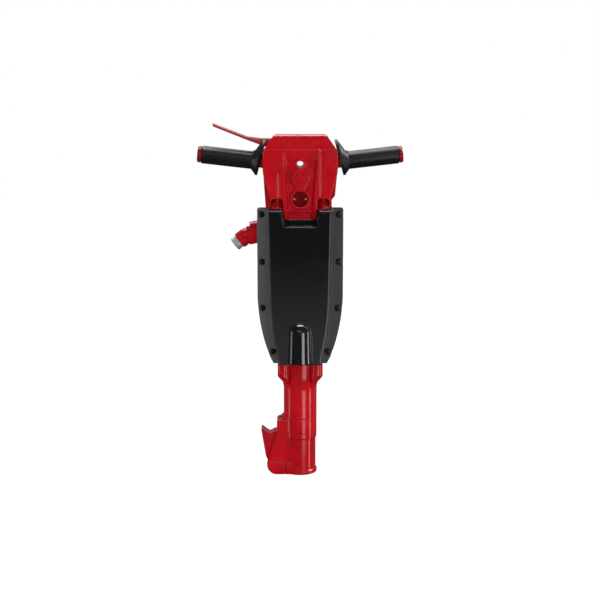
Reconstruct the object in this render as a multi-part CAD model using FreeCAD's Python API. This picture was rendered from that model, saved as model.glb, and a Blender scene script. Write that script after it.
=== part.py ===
import FreeCAD, Part
import math
import os

# Air-driven paving breaker with a silencing jacket, side inlet and latch tool retainer.
# Millimetres. X is right, Y is away from the viewer, Z is up. The origin is the centre of the
# chuck's mouth. The three castings stack upwards: fronthead, cylinder, backhead.

Vector = FreeCAD.Vector

# Overall stack
fronthead_height = 236.0
cylinder_height = 226.0
backhead_height = 224.0

# Clearances
fit_gap = 0.1
seat_gap = 0.3
running_gap = 0.05
swing_gap = 0.5
overrun = 2.0

# Chuck and collar pocket
chuck_radius = 31.5
bead_radius = 34.0
bead_height = 10.0
bead_round = 2.5
pocket_radius = 26.0
pocket_depth = 76.0
mouth_radius = 27.0
neck_radius = 33.5
step_height = 3.0
neck_height = 181.0
flare_radius = 38.5
flare_height = 16.0
flare_round = 40.0

# Fronthead flange
front_bolt_offset = 33.6
front_boss_radius = 11.5
front_boss_drop = 50.5
front_bolt_radius = 6.0
front_bolt_depth = 26.0

# Hexagon bushing for the tool shank
hex_flats = 32.2
bushing_radius = 24.0
bushing_top = 204.0
bushing_flange_radius = 27.0
bushing_flange_height = 6.0

# Latch retainer and its ears
latch_width = 30.0
ear_thickness = 9.0
ear_boss_step = 3.0
ear_side_gap = 0.4
latch_pivot_x = -46.0
latch_pivot_z = 13.5
latch_bolt_radius = 6.0
latch_hub_radius = 12.0
ear_reach = 67.5
ear_boss_height = 27.0
ear_shoulder_reach = 62.5
ear_shoulder_height = 38.0
ear_top_reach = 46.5
ear_top_height = 88.0
ear_corner_radius = 20.0
ear_groove_width = 2.2
ear_groove_depth = 3.2
ear_pad_reach = 16.0
ear_edge_round = 1.2
latch_top_height = 87.5
latch_outer_reach = 70.0
latch_waist_height = 34.0
toe_reach = 79.5
toe_height = 92.5
toe_tip_length = 3.0
toe_dip_reach = 62.0
toe_dip_height = 81.5
toe_heel_reach = 52.0
lip_low = 34.0
lip_high = 44.0
lip_reach = 19.0
lip_round = 1.0
lip_shank_radius = 19.5
window_low = 20.0
window_high = 57.0

# Latch plunger above the latch
plunger_x = -38.0
plunger_radius = 5.5
plunger_length = 5.0
plunger_plug_radius = 7.5
housing_reach = 47.5
housing_height = 24.0
housing_round = 6.0
housing_side_round = 14.0
housing_web_height = 12.0
neck_band_height = 30.5
neck_band_proud = 2.0
neck_band_round = 1.5
neck_band_end = 10.0
plug_recess = 1.5
plug_height = 3.5
latch_spring_wire = 1.2

# Anvil block and its two bushings
anvil_stem_radius = 22.0
anvil_flange_radius = 31.0
anvil_low_stem = 24.0
anvil_flange_height = 20.0
anvil_top_stem = 6.0
anvil_travel = 12.0
anvil_bushing_radius = 30.0
anvil_bushing_flange = 4.0
upper_bushing_shoulder = 15.0

# Cylinder and piston
bore_radius = 33.35
cylinder_radius = 43.0
cylinder_low_flange = 26.0
cylinder_top_flange = 22.0
cylinder_spigot = 38.0
spigot_radius = 41.5
back_bolt_x = 45.0
back_bolt_y = 34.0
back_boss_radius = 11.5
back_bolt_radius = 6.5
bolt_head_share = 1.5
bolt_head_height_share = 1.0
washer_thickness = 2.5
washer_share = 1.65
scallop_height = 82.0
piston_length = 60.0
piston_bore_radius = 12.0
piston_groove_width = 3.0
piston_groove_depth = 1.2
piston_groove_pitch = 9.0
port_radius = 7.0
port_height = 130.0

# Valve chest above the piston
valve_box_height = 20.0
valve_cap_height = 20.0
valve_plate_radius = 26.0
valve_plate_thickness = 4.0
valve_travel = 1.4
valve_port_radius = 3.0
valve_port_circle = 18.0
valve_port_count = 6
dowel_radius = 3.0
dowel_circle = 37.4

# Backhead body, seen from the front
head_half_width = 72.5
head_top_half_width = 50.5
head_shoulder_drop = 31.5
head_side_drop = 74.0
head_side_round = 60.0
shield_waist_half_width = 58.5
shield_waist_drop = 120.0
shield_low_half_width = 56.0
tongue_half_width = 33.0
tongue_low_half_width = 28.5
tongue_drop = 163.0
tongue_bead_drop = 148.0
tongue_bead_radius = 1.6
head_front = 52.0
head_back = 48.0
shield_back = 20.0
head_top_front = 42.0
head_top_round = 3.0
band_height = 29.0
head_edge_round = 5.0
body_left_reach = 68.0
column_left_reach = 58.0
body_right_reach = 68.5
body_right_low_reach = 62.0
body_right_drop = 119.0
body_right_chamfer = 8.0
column_height = 82.0
gasket_thickness = 1.0
nut_height = 11.0
nut_flats_share = 1.5
stud_end = 4.0
stud_pocket_height = 19.0
stud_pocket_round = 7.0
side_round = 12.0

# Front channel, ribs, plugs and hole
channel_half_width = 32.0
channel_low_half_width = 24.0
channel_depth = 7.0
channel_draft = 4.0
channel_fade = 20.0
rib_width = 6.2
rib_proud = 2.0
rib_right_x = 37.0
rib_left_x = -44.5
rib_left_drop = 76.0
hole_drop = 57.0
hole_radius = 6.5
hole_boss_radius = 12.0
hole_boss_proud = 3.0
plug_drop = 84.0
plug_radius = 10.5
plug_proud = 5.0
oil_plug_drop = 124.0
oil_plug_radius = 15.0
oil_plug_sunk = 3.0
oil_plug_hole = 2.0
rim_radius = 18.0
oil_rim_radius = 20.5
rim_proud = 4.0
rim_waist_round = 7.0
rim_edge_round = 1.6
plug_thread_depth = 12.0
plug_step = 2.0

# Handles
handle_drop = 61.0
handle_rise_angle = 6.4
arm_radius = 13.0
arm_root_radius = 17.0
handle_reach = 203.0
knob_radius = 16.2
knob_length = 9.0
grip_radius = 17.5
grip_start = 96.0
guard_head_gap = 0.45
guard_tilt = 14.5
guard_lift = 9.0
guard_half_height = 38.0
guard_half_depth = 30.0
guard_rim = 5.0
guard_slot_half_width = 14.0
guard_slot_rise = 21.0

# Throttle lever, pin and valve
lever_width = 22.0
lever_pivot_x = -40.0
lever_pivot_drop = 17.0
lever_hub_radius = 9.0
lever_pin_radius = 4.0
lever_side_gap = 0.6
lever_pad_height = 9.0
lever_tip_reach = 172.5
lever_tip_rise = 39.0
lever_bend_reach = 104.0
lever_bend_rise = 13.0
lever_root_reach = 75.0
lever_root_rise = 9.5
lever_root_depth = 14.0
lever_thickness = 6.8
lever_edge_round = 1.5
lever_root_round = 20.0
lever_bend_round = 30.0
lever_heel_round = 8.0
slot_floor_drop = 34.0
slot_inner_reach = 31.0
valve_x = -54.0
valve_stem_radius = 4.0
valve_head_radius = 9.0
valve_head_height = 9.0
stem_dome_share = 1.5
valve_bore_radius = 11.0
valve_bush_height = 20.0
valve_spring_height = 24.0
valve_spring_wire = 1.6
air_passage_radius = 8.5
throttle_passage_radius = 6.0
supply_x = -32.0
supply_radius = 5.0

# Air inlet on the left side
inlet_y = 26.0
inlet_start_x = -50.0
inlet_height = 33.6
inlet_tilt = 12.0
inlet_boss_radius = 21.0
inlet_boss_length = 38.8
nut_guard_radius = 26.0
nut_guard_half_width = 13.0
nut_guard_length = 47.8
nut_length = 17.0
nut_flats = 36.0
adapter_radius = 14.0
adapter_bore_radius = 9.0
adapter_depth = 16.0
swivel_neck_radius = 12.0
nut_lip = 3.0
strainer_wall = 1.0
elbow_radius = 16.5
elbow_tilt = 38.0
elbow_bend_radius = 20.0
elbow_socket_length = 10.5
elbow_stub = 9.0
nipple_radius = 13.3
nipple_bore_radius = 10.0
nipple_visible = 13.0
nipple_buried = 7.5
nipple_thread_step = 0.6

# Muffler, two shells bolted along a side flange
muffler_top_over = 80.0
muffler_bottom_under = 8.0
muffler_half_width = 85.5
muffler_low_half_width = 61.5
muffler_bottom_half_width = 54.0
muffler_top_wall = 6.0
muffler_panel_round = 4.5
muffler_side_bow = 5.2
muffler_depth = 75.0
root_half_width = 64.0
root_knee_half_width = 60.5
root_low_half_width = 49.5
root_base_half_width = 48.5
panel_half_width = 62.0
panel_low_half_width = 43.0
panel_base_half_width = 42.0
panel_side_bow = 3.2
panel_knee_half_width = 58.5
panel_bottom_rise = 10.0
flange_thickness = 9.0
muffler_seam = 1.0
muffler_wall = 4.0
muffler_corner = 4.0
knee_share = 0.563
mid_share = 0.745
low_share = 0.953
notch_half_width = 36.5
notch_low_half_width = 31.0
notch_drop = 32.0
notch_round = 4.0
notch_floor_y = 50.0
muffler_bolt_radius = 3.0
muffler_bolt_head_radius = 5.6
muffler_bolt_head_height = 3.6
bolt_dome_share = 1.25
muffler_pocket_radius = 6.9
muffler_pocket_depth = 4.5
muffler_bolt_inset = 9.0
muffler_bolt_shares = (0.042, 0.342, 0.639, 0.924)
outlet_half_width = 22.5
outlet_flare = 2.0
outlet_foot_rise = 14.5
outlet_top_rise = 94.0
outlet_proud = 14.0
outlet_wall = 3.5

# Heights and places that follow from the sizes above
front_joint = fronthead_height
back_joint = front_joint + cylinder_height
top = back_joint + backhead_height
handle_z = top - handle_drop
lever_pivot_z = top - lever_pivot_drop
slot_floor = top - slot_floor_drop
bolt_seat = back_joint + column_height
head_low = back_joint + muffler_top_over + muffler_seam
ear_inner = latch_width / 2 + ear_side_gap
ear_outer = ear_inner + ear_thickness
muffler_top = back_joint + muffler_top_over
muffler_bottom = front_joint - muffler_bottom_under
inlet_z = back_joint + inlet_height


def drum(radius, low, high, x=0.0, y=0.0):
    return Part.makeCylinder(radius, high - low, Vector(x, y, low))


def drum_y(radius, near, far, x, z):
    return Part.makeCylinder(radius, far - near, Vector(x, near, z), Vector(0, 1, 0))


def block(x0, x1, y0, y1, z0, z1):
    return Part.makeBox(x1 - x0, y1 - y0, z1 - z0, Vector(x0, y0, z0))


def joined(first, *others):
    return first.multiFuse(list(others)).removeSplitter()


def revolved(points):
    """A solid of revolution about Z from (radius, height) points."""
    corners = [Vector(r, 0, z) for r, z in points]
    corners.append(corners[0])
    return Part.Face(Part.makePolygon(corners)).revolve(Vector(0, 0, 0), Vector(0, 0, 1), 360)


def rounded_wire(points, place):
    """A closed wire through (a, b, radius) corners, each rounded by an arc of its radius."""
    count = len(points)
    ends = []
    for index in range(count):
        a, b, radius = points[index]
        corner = Vector(a, b, 0)
        before = Vector(points[index - 1][0], points[index - 1][1], 0) - corner
        after = Vector(points[(index + 1) % count][0], points[(index + 1) % count][1], 0) - corner
        before.normalize()
        after.normalize()
        if radius == 0:
            ends.append((corner, None, corner))
            continue
        half = before.getAngle(after) / 2
        reach = radius / math.tan(half)
        middle = before + after
        middle.normalize()
        centre = corner + middle * (radius / math.sin(half))
        ends.append((corner + before * reach, centre - middle * radius, corner + after * reach))
    edges = []
    for index in range(count):
        start, crown, end = ends[index]
        if crown is not None:
            edges.append(Part.Arc(place(start), place(crown), place(end)).toShape())
        edges.append(Part.makeLine(place(end), place(ends[(index + 1) % count][0])))
    return Part.Wire(edges)


def turned(points):
    """A solid of revolution about Z from (radius, height, rounding) points."""
    wire = rounded_wire(points, lambda p: Vector(p.x, 0, p.y))
    return Part.Face(wire).revolve(Vector(0, 0, 0), Vector(0, 0, 1), 360)


def front_prism(points, near, far):
    """Extrudes (x, z, radius) corners from one depth to another."""
    wire = rounded_wire(points, lambda p: Vector(p.x, near, p.y))
    return Part.Face(wire).extrude(Vector(0, far - near, 0))


def side_prism(points, left, right):
    """Extrudes (y, z, radius) corners from one x to another."""
    wire = rounded_wire(points, lambda p: Vector(left, p.x, p.y))
    return Part.Face(wire).extrude(Vector(right - left, 0, 0))


def plan_prism(points, low, high):
    """Extrudes (x, y, radius) corners from one height to another."""
    wire = rounded_wire(points, lambda p: Vector(p.x, p.y, low))
    return Part.Face(wire).extrude(Vector(0, 0, high - low))


def rounded_plan(half_x, half_y, radius, low, high):
    corners = [(-half_x, -half_y, radius), (half_x, -half_y, radius), (half_x, half_y, radius),
               (-half_x, half_y, radius)]
    return plan_prism(corners, low, high)


def mirrored_points(points):
    """Right-hand corners followed by the same corners on the left, to close a symmetric outline."""
    return points + [(-x, z, radius) for x, z, radius in reversed(points)]


def hexagon(flats, low, high, x=0.0, y=0.0):
    reach = flats / math.sqrt(3)
    corners = [Vector(x + reach * math.cos(math.radians(a)), y + reach * math.sin(math.radians(a)), low)
               for a in range(30, 391, 60)]
    return Part.Face(Part.makePolygon(corners)).extrude(Vector(0, 0, high - low))


def corner_places(x, y):
    return [(x, y), (-x, y), (-x, -y), (x, -y)]


def along(start, direction, distance):
    return start + direction * distance


def tube_along(outer, inner, start, direction, length):
    bar = Part.makeCylinder(outer, length, start, direction)
    return bar.cut(Part.makeCylinder(inner, length, start, direction))


def coil(mean_radius, wire, low, high, x, turns):
    """A compression spring of square wire, standing between two heights."""
    path = Part.makeHelix((high - low - wire) / turns, high - low - wire, mean_radius)
    side = wire / 2
    signs = ((-1, -1), (1, -1), (1, 1), (-1, 1), (-1, -1))
    corners = [Vector(mean_radius + a * side, 0, b * side) for a, b in signs]
    spring = Part.Wire(path.Edges).makePipeShell([Part.makePolygon(corners)], True, True)
    spring.translate(Vector(x, 0, low + side))
    return spring


# Fronthead and what it carries

def flat_faced(shape, depth, rounding):
    """Rounds the edges of the two faces that look to the front and the back at one depth."""
    edges = [edge for edge in shape.Edges if edge.BoundBox.YLength < rounding
             and abs(edge.BoundBox.Center.y) > depth - rounding]
    return shape.makeFillet(rounding, edges)


def latch_ears():
    """Two cheeks beside the latch, with proud pivot bosses and a pad beside them."""
    cheek = front_prism([(0, 0, 0), (0, ear_top_height, 0), (-ear_top_reach, ear_top_height, 0),
                         (-ear_shoulder_reach, ear_shoulder_height, ear_boss_step),
                         (-ear_shoulder_reach, 0, ear_corner_radius)],
                        -ear_outer, ear_outer)
    groove_edge = chuck_radius
    boss_face_y = ear_outer + ear_boss_step
    boss = front_prism([(-groove_edge, 0, ear_edge_round), (-groove_edge, ear_boss_height, ear_boss_step),
                        (-ear_reach, ear_boss_height, ear_boss_step), (-ear_reach, 0, ear_corner_radius)],
                       -boss_face_y, boss_face_y)
    pad_edge = groove_edge - ear_groove_width
    pad_face_y = ear_outer + ear_groove_depth
    pad = front_prism([(-pad_edge, 0, ear_edge_round), (-ear_pad_reach, 0, ear_edge_round),
                       (-ear_pad_reach, ear_boss_height, ear_boss_step),
                       (-pad_edge, ear_boss_height, ear_boss_step)],
                      -pad_face_y, pad_face_y)
    slot = block(-ear_reach - overrun, overrun, -ear_inner, ear_inner, -overrun, ear_top_height + overrun)
    return joined(cheek, flat_faced(boss, boss_face_y, ear_edge_round),
                  flat_faced(pad, pad_face_y, ear_edge_round)).cut(slot)


def front_bosses():
    """Four bolt bosses whose feet fade into the neck on a cone."""
    low = front_joint - front_boss_drop
    reach = front_bolt_offset * math.sqrt(2) + front_boss_radius + overrun
    skirt = revolved([(0, low), (neck_radius, low), (reach, low + reach - neck_radius),
                      (reach, front_joint), (0, front_joint)])
    return [drum(front_boss_radius, low, front_joint, x, y).common(skirt)
            for x, y in corner_places(front_bolt_offset, front_bolt_offset)]


def plunger_housing():
    """The lump over the latch that holds its plunger, faired into the neck above."""
    housing_top = ear_top_height + housing_height
    lump = front_prism([(0, ear_top_height, 0), (-housing_reach, ear_top_height, 0),
                        (-housing_reach, housing_top, housing_round),
                        (-neck_radius - housing_round, housing_top, housing_round),
                        (-neck_radius + overrun, housing_top + housing_web_height, 0),
                        (0, housing_top + housing_web_height, 0)],
                       -ear_outer, ear_outer)
    arch = side_prism([(-ear_outer, 0, 0), (ear_outer, 0, 0),
                       (ear_outer, housing_top, housing_side_round),
                       (ear_outer / 2, housing_top + housing_web_height, housing_round),
                       (-ear_outer / 2, housing_top + housing_web_height, housing_round),
                       (-ear_outer, housing_top, housing_side_round)],
                      -housing_reach - overrun, overrun)
    return lump.common(arch)


def neck_band():
    """The low band with which the plunger housing runs round the front and back of the neck."""
    reach = neck_radius + neck_band_proud
    high = ear_top_height + neck_band_height
    ring = turned([(0, ear_top_height, 0), (reach, ear_top_height, neck_band_round),
                   (reach, high, neck_band_round), (0, high, 0)])
    return ring.common(block(-reach, neck_band_end, -reach, reach, ear_top_height, high))


def fronthead():
    outside = turned([
        (0, 0, 0), (bead_radius, 0, bead_round), (bead_radius, bead_height - bead_round, bead_round / 2),
        (chuck_radius, bead_height, bead_round / 2), (chuck_radius, pocket_depth - step_height, 0),
        (neck_radius, pocket_depth, step_height / 2), (neck_radius, neck_height, flare_round),
        (flare_radius, neck_height + flare_height, flare_round), (flare_radius, front_joint, 0),
                      (0, front_joint, 0)])
    housing_top = ear_top_height + housing_height
    casting = joined(outside, latch_ears(), plunger_housing(), neck_band(), *front_bosses())
    plug_seat = housing_top - plug_recess - plug_height
    cuts = [
        drum(mouth_radius, -overrun, window_high),
        drum(pocket_radius, window_high - overrun, pocket_depth),
        drum(bushing_radius + fit_gap, pocket_depth - overrun, front_joint),
        drum(bushing_flange_radius + fit_gap, bushing_top, front_joint),
        drum(anvil_bushing_radius + fit_gap, bushing_top + bushing_flange_height, front_joint + overrun),
        block(-chuck_radius - overrun, -lip_reach, -ear_inner, ear_inner, window_low, window_high),
        drum(plunger_radius + running_gap, ear_top_height - overrun, housing_top, plunger_x),
        drum(plunger_plug_radius + fit_gap, plug_seat, housing_top + housing_web_height, plunger_x),
        drum_y(latch_bolt_radius + fit_gap, -ear_outer, ear_outer + ear_boss_step + overrun, latch_pivot_x,
               latch_pivot_z),
    ]
    for x, y in corner_places(front_bolt_offset, front_bolt_offset):
        cuts.append(drum(front_bolt_radius + fit_gap, front_joint - front_bolt_depth,
                         front_joint + overrun, x, y))
    return casting.cut(cuts)


def chuck_bushing():
    sleeve = joined(drum(bushing_radius, pocket_depth, bushing_top + bushing_flange_height),
                    drum(bushing_flange_radius, bushing_top, bushing_top + bushing_flange_height))
    lead_radius = hex_flats / math.sqrt(3)
    lead = Part.makeCone(lead_radius + overrun, lead_radius - overrun, 2 * overrun,
                         Vector(0, 0, pocket_depth))
    return sleeve.cut([hexagon(hex_flats, pocket_depth - overrun, front_joint), lead])


def latch_retainer():
    """A flat forging on a bolt at its foot, with a kick toe and a lip under the tool's collar."""
    nose_radius = latch_top_height - latch_pivot_z
    inner = neck_radius + swing_gap
    sheet = front_prism([
        (-inner, latch_pivot_z, 0), (-inner, lip_low, 0), (-lip_reach, lip_low, lip_round),
        (-lip_reach, lip_high, lip_round), (-inner, lip_high, 0), (-inner, latch_top_height, 0),
        (-toe_heel_reach, latch_top_height, toe_tip_length),
                         (-toe_dip_reach, toe_dip_height, 2 * toe_tip_length),
        (-toe_reach + toe_tip_length, toe_height, lip_round), (-toe_reach, toe_height, lip_round),
        (-latch_outer_reach, latch_waist_height, latch_waist_height),
                         (latch_pivot_x - latch_hub_radius, latch_pivot_z, 0)],
        -latch_width / 2, latch_width / 2)
    hub = drum_y(latch_hub_radius, -latch_width / 2, latch_width / 2, latch_pivot_x, latch_pivot_z)
    swing = drum_y(nose_radius, -latch_width, latch_width, latch_pivot_x, latch_pivot_z)
    toe = block(-toe_reach - overrun, -toe_heel_reach, -latch_width, latch_width, 0, toe_height + overrun)
    sheet = sheet.common(swing.fuse(toe))
    return joined(sheet, hub).cut([
        drum_y(latch_bolt_radius + running_gap, -latch_width, latch_width, latch_pivot_x, latch_pivot_z),
        drum(lip_shank_radius, lip_low - overrun, lip_high + overrun)])


def latch_bolt():
    seat = ear_outer + ear_boss_step + washer_thickness
    head = hexagon(2 * latch_bolt_radius * bolt_head_share, 0, latch_bolt_radius)
    head.rotate(Vector(0, 0, 0), Vector(1, 0, 0), -90)
    head.translate(Vector(latch_pivot_x, seat, latch_pivot_z))
    return joined(drum_y(latch_bolt_radius, -ear_outer, seat + overrun, latch_pivot_x, latch_pivot_z), head)


def latch_bolt_washer():
    far = ear_outer + ear_boss_step
    ring = drum_y(latch_bolt_radius * washer_share, far, far + washer_thickness, latch_pivot_x,
                  latch_pivot_z)
    return ring.cut(drum_y(latch_bolt_radius + fit_gap, 0, far + washer_thickness, latch_pivot_x,
                           latch_pivot_z))


def latch_plunger():
    low = ear_top_height
    return joined(drum(plunger_radius, low, low + plunger_length, plunger_x),
                  drum(plunger_radius - latch_spring_wire, low - seat_gap / 2, low + plunger_length,
                       plunger_x))


def latch_spring():
    low = ear_top_height + plunger_length
    high = ear_top_height + housing_height - plug_recess - plug_height
    return coil(plunger_radius - latch_spring_wire, latch_spring_wire, low + fit_gap, high - fit_gap,
                plunger_x, 2)


def plunger_plug():
    high = ear_top_height + housing_height - plug_recess
    plug = drum(plunger_plug_radius, high - plug_height, high, plunger_x)
    slot = block(plunger_x - plunger_plug_radius, plunger_x + plunger_plug_radius, -plug_recess / 2,
                 plug_recess / 2,
                 high - plug_recess, high + overrun)
    return plug.cut(slot)


def fronthead_bolts():
    bolts = []
    flange_top = front_joint + cylinder_low_flange
    head_radius = front_bolt_radius * bolt_head_share
    for x, y in corner_places(front_bolt_offset, front_bolt_offset):
        shank = drum(front_bolt_radius, front_joint - front_bolt_depth + seat_gap,
                     flange_top + washer_thickness, x, y)
        head = drum(head_radius, flange_top + washer_thickness,
                    flange_top + washer_thickness + 2 * front_bolt_radius * bolt_head_height_share, x, y)
        key = hexagon(front_bolt_radius * bolt_head_share, flange_top + 2 * front_bolt_radius,
                      flange_top + 3 * front_bolt_radius, x, y)
        bolts.append(joined(shank, head).cut(key))
    return Part.Compound(bolts)


def washers(radius, low, places):
    rings = []
    for x, y in places:
        ring = drum(radius * washer_share, low, low + washer_thickness, x, y)
        rings.append(ring.cut(drum(radius + fit_gap, low - overrun, low + washer_thickness + overrun, x,
                                   y)))
    return Part.Compound(rings)


# Striking parts

def anvil_levels():
    """Heights of the anvil block's lower end, flange bottom, flange top and upper end at rest."""
    flange_low = front_joint + anvil_bushing_flange + seat_gap
    flange_high = flange_low + anvil_flange_height
    return flange_low - anvil_low_stem, flange_low, flange_high, flange_high + anvil_top_stem


def lower_anvil_bushing():
    low = bushing_top + bushing_flange_height
    body = joined(drum(anvil_bushing_radius, low + fit_gap, front_joint + anvil_bushing_flange),
                  drum(bore_radius - fit_gap, front_joint, front_joint + anvil_bushing_flange))
    return body.cut(drum(anvil_stem_radius + running_gap, low - overrun,
                         front_joint + anvil_bushing_flange + overrun))


def anvil_block():
    low, flange_low, flange_high, high = anvil_levels()
    edge = anvil_top_stem / 3
    return revolved([(0, low), (anvil_stem_radius - edge, low), (anvil_stem_radius, low + edge),
                     (anvil_stem_radius, flange_low), (anvil_flange_radius - edge, flange_low),
                     (anvil_flange_radius, flange_low + edge), (anvil_flange_radius, flange_high - edge),
                     (anvil_flange_radius - edge, flange_high), (anvil_stem_radius, flange_high),
                     (anvil_stem_radius, high - edge), (anvil_stem_radius - edge, high), (0, high)])


def upper_bushing_top():
    return anvil_levels()[2] + anvil_travel + seat_gap + upper_bushing_shoulder


def upper_anvil_bushing():
    low = front_joint + anvil_bushing_flange
    high = upper_bushing_top()
    sleeve = drum(bore_radius - fit_gap, low + fit_gap, high)
    return sleeve.cut([drum(anvil_flange_radius + running_gap, low - overrun,
                            high - upper_bushing_shoulder),
                       drum(anvil_stem_radius + running_gap, low - overrun, high + overrun)])


def piston():
    head_low = upper_bushing_top() + seat_gap
    head_high = head_low + piston_length
    stem_low = anvil_levels()[3] + anvil_travel + swing_gap
    radius = bore_radius - running_gap
    edge = piston_groove_depth
    body = revolved([(0, stem_low), (anvil_stem_radius - edge, stem_low),
                     (anvil_stem_radius, stem_low + edge),
                     (anvil_stem_radius, head_low), (radius - edge, head_low), (radius, head_low + edge),
                     (radius, head_high - edge), (radius - edge, head_high), (0, head_high)])
    for index in range(2):
        low = head_high - piston_groove_pitch * (index + 1)
        groove = drum(bore_radius + overrun, low, low + piston_groove_width)
        body = body.cut(groove.cut(drum(radius - piston_groove_depth, low - overrun,
                                        low + piston_groove_width + overrun)))
    return body.cut(drum(piston_bore_radius, head_high - piston_length / 2, head_high + overrun))


def cylinder():
    low_flange_top = front_joint + cylinder_low_flange
    top_flange_low = back_joint - cylinder_top_flange
    spigot_top = back_joint + cylinder_spigot
    half = front_bolt_offset + front_boss_radius
    barrel = joined(
        drum(cylinder_radius, front_joint, back_joint),
        rounded_plan(half, half, front_boss_radius, front_joint, low_flange_top),
        rounded_plan(back_bolt_x + back_boss_radius, back_bolt_y + back_boss_radius, back_boss_radius,
                     top_flange_low, back_joint),
        drum(spigot_radius, back_joint, spigot_top))
    cuts = [drum(bore_radius, front_joint - overrun, spigot_top + overrun)]
    for x, y in corner_places(front_bolt_offset, front_bolt_offset):
        cuts.append(drum(front_bolt_radius + fit_gap, front_joint - overrun, low_flange_top + overrun, x,
                         y))
        cuts.append(drum(front_bolt_radius * washer_share + swing_gap, low_flange_top,
                         low_flange_top + scallop_height, x, y))
    for x, y in corner_places(back_bolt_x, back_bolt_y):
        cuts.append(drum(back_bolt_radius + fit_gap, top_flange_low - overrun, back_joint + overrun, x, y))
    for angle in range(0, 360, 90):
        direction = Vector(math.cos(math.radians(angle)), math.sin(math.radians(angle)), 0)
        cuts.append(Part.makeCylinder(port_radius, cylinder_radius + overrun,
                                      Vector(0, 0, front_joint + port_height), direction))
    cuts.append(drum(dowel_radius + fit_gap, spigot_top - 2 * dowel_radius, spigot_top + overrun,
                     dowel_circle))
    return barrel.cut(cuts)


# Valve chest

def port_ring(low, high):
    ports = []
    for index in range(valve_port_count):
        angle = 2 * math.pi * index / valve_port_count
        ports.append(drum(valve_port_radius, low, high, valve_port_circle * math.cos(angle),
                          valve_port_circle * math.sin(angle)))
    return ports


def valve_box():
    low = back_joint + cylinder_spigot
    high = low + valve_box_height
    seat = high - valve_plate_thickness - valve_travel - 2 * seat_gap
    body = drum(spigot_radius - fit_gap, low + fit_gap, high)
    cuts = port_ring(low - overrun, high)
    cuts.append(drum(valve_plate_radius + swing_gap, seat, high + overrun))
    cuts.append(drum(dowel_radius + fit_gap, low - overrun, high + overrun, dowel_circle))
    return body.cut(cuts)


def valve_plate():
    high = back_joint + cylinder_spigot + valve_box_height
    seat = high - valve_plate_thickness - valve_travel - 2 * seat_gap
    plate = drum(valve_plate_radius, seat + seat_gap, seat + seat_gap + valve_plate_thickness)
    return plate.cut(drum(valve_port_circle - 2 * valve_port_radius, seat - overrun, high + overrun))


def valve_cap():
    low = back_joint + cylinder_spigot + valve_box_height
    high = low + valve_cap_height
    body = drum(spigot_radius - fit_gap, low + fit_gap, high)
    cuts = port_ring(low - overrun, high + overrun)
    cuts.append(drum(dowel_radius + fit_gap, low - overrun, high - 2 * dowel_radius, dowel_circle))
    return body.cut(cuts)


def valve_dowel():
    low = back_joint + cylinder_spigot
    return drum(dowel_radius, low - 2 * dowel_radius + seat_gap,
                low + valve_box_height + valve_cap_height - 2 * dowel_radius - seat_gap, dowel_circle)


# Backhead and what it carries

def shoulder_points():
    """Right-hand corners of the head's sloping shoulders, from the waist up."""
    return [(head_half_width, top - head_side_drop, head_side_round),
            (head_half_width, top - head_shoulder_drop, head_edge_round),
            (head_top_half_width, top, head_edge_round)]


def head_body():
    tongue_low = top - tongue_drop
    shield = mirrored_points([(tongue_low_half_width, tongue_low, head_edge_round / 2),
                              (tongue_half_width, head_low, 0),
                              (shield_low_half_width, head_low, head_edge_round / 2),
                              (shield_waist_half_width, top - shield_waist_drop, head_side_round)]
                             + shoulder_points())
    front = front_prism(shield, -head_front, -shield_back)
    right = [(body_right_low_reach, head_low, 0),
             (body_right_low_reach, top - body_right_drop - body_right_chamfer, 0),
             (body_right_reach, top - body_right_drop, 0)] + shoulder_points()
    left = [(-x, z, radius) for x, z,
            radius in reversed(shoulder_points())] + [(-body_left_reach, head_low, 0)]
    back = front_prism(right + left, -shield_back, head_back)
    band_low = top - band_height
    profile = side_prism([(-head_front, tongue_low - overrun, 0), (-head_front, band_low, head_edge_round),
                          (-head_top_front, top - head_top_round, head_top_round / 2),
                          (-head_top_front + head_top_round, top, 0),
                          (head_back - side_round, top, side_round), (head_back, top - side_round, 0),
                          (head_back, tongue_low - overrun, 0)],
                         -head_half_width - overrun, head_half_width + overrun)
    return joined(front, back).common(profile)


def handle_direction(side):
    angle = math.radians(handle_rise_angle)
    return Vector(side * math.cos(angle), 0, math.sin(angle))


def handle_arm(side):
    """One handle arm with its flared root and its end knob, along the rising handle line."""
    inner = head_half_width - arm_root_radius
    root = head_half_width - overrun
    knob_start = handle_reach - knob_length
    edge = knob_length / 4
    arm = revolved([(0, inner), (arm_root_radius, inner), (arm_root_radius, root),
                    (arm_radius, root + arm_root_radius - arm_radius),
                    (arm_radius, knob_start), (knob_radius - edge, knob_start),
                    (knob_radius, knob_start + edge),
                    (knob_radius, handle_reach - edge), (knob_radius - edge, handle_reach),
                    (0, handle_reach)])
    arm.Placement = FreeCAD.Placement(Vector(0, 0, handle_z),
                                      FreeCAD.Rotation(Vector(0, 0, 1), handle_direction(side)))
    return arm


def inlet_direction():
    angle = math.radians(inlet_tilt)
    return Vector(-math.cos(angle), 0, -math.sin(angle))


def inlet_start():
    return Vector(inlet_start_x, inlet_y, inlet_z)


def nut_guard(grow):
    """A cast guard that reaches out over the top of the swivel nut."""
    bar = Part.makeCylinder(nut_guard_radius + grow, nut_guard_length + grow, inlet_start(),
                            inlet_direction())
    side = nut_guard_half_width + grow
    bar = bar.common(block(-2 * head_half_width, inlet_start_x, inlet_y - side, inlet_y + side, inlet_z,
                           muffler_top))
    room = nut_flats / math.sqrt(3) + swing_gap - grow
    return bar.cut(Part.makeCylinder(room, nut_length, boss_face(), inlet_direction()))


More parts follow.
